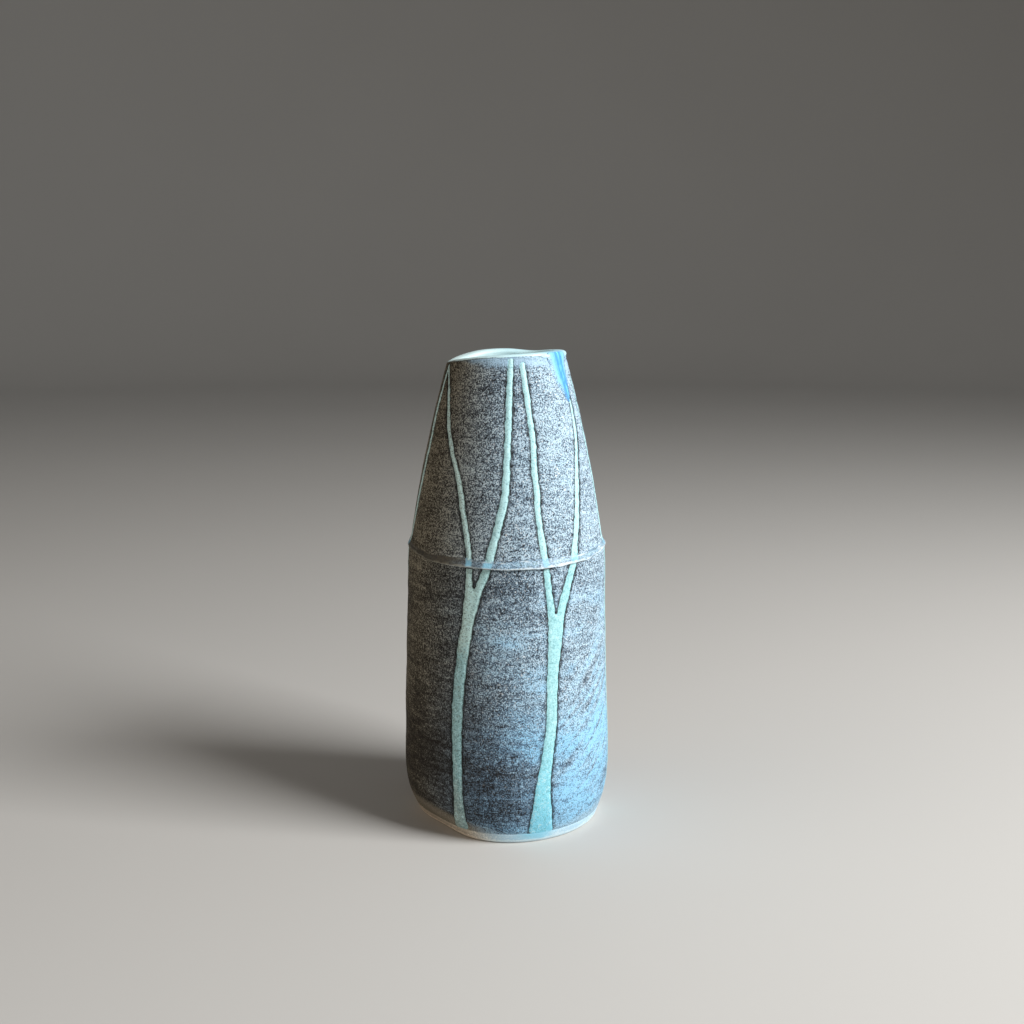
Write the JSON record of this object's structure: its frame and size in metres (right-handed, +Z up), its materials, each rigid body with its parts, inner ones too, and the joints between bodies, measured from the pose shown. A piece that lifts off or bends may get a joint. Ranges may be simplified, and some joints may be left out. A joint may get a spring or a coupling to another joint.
{
  "type": "ceramic bud vase",
  "caption": "Slab-built stoneware bud vase: lower wall on a base slab, tapered upper wall lapped over it, forked tree lines inlaid in turquoise glaze, narrow glazed mouth.",
  "frame": {"origin": "middle of the foot, on the surface that the vase stands on", "axes": "+Z up along the vase; -Y is the front, where the two drawn trees and the seam are seen; +X is the side with the high rim and the blue run"},
  "size_m": [0.058, 0.058, 0.1313],
  "materials": {
    "oxide_clay": "dry matt stoneware, brushed with dark oxide over a pale blue-white slip",
    "bare_clay": "bare fired stoneware, pale cream, dry",
    "turquoise_glaze": "satin turquoise glaze",
    "aqua_glaze": "glossy pale aqua glaze",
    "blue_glaze": "glossy streaked sky-blue glaze",
    "lining_glaze": "glossy pale aqua liner glaze"
  },
  "bodies": {
    "root": {"base_slab": "bare_clay", "lower_wall": "oxide_clay", "upper_wall": "oxide_clay", "base_joint_coil": "bare_clay", "lap_joint_coil": "bare_clay", "lining_glaze": "lining_glaze", "rim_glaze": "aqua_glaze", "rim_glaze_run": "blue_glaze", "seam_glaze": "aqua_glaze", "trunk_inlay_1": "turquoise_glaze", "trunk_inlay_2": "turquoise_glaze", "trunk_inlay_3": "turquoise_glaze", "trunk_inlay_4": "turquoise_glaze", "trunk_inlay_5": "turquoise_glaze", "trunk_inlay_6": "turquoise_glaze", "crown_inlay_1": "turquoise_glaze", "crown_inlay_2": "turquoise_glaze", "crown_inlay_3": "turquoise_glaze", "crown_inlay_4": "turquoise_glaze", "crown_inlay_5": "turquoise_glaze", "crown_inlay_6": "turquoise_glaze"}
  },
  "joints": []
}
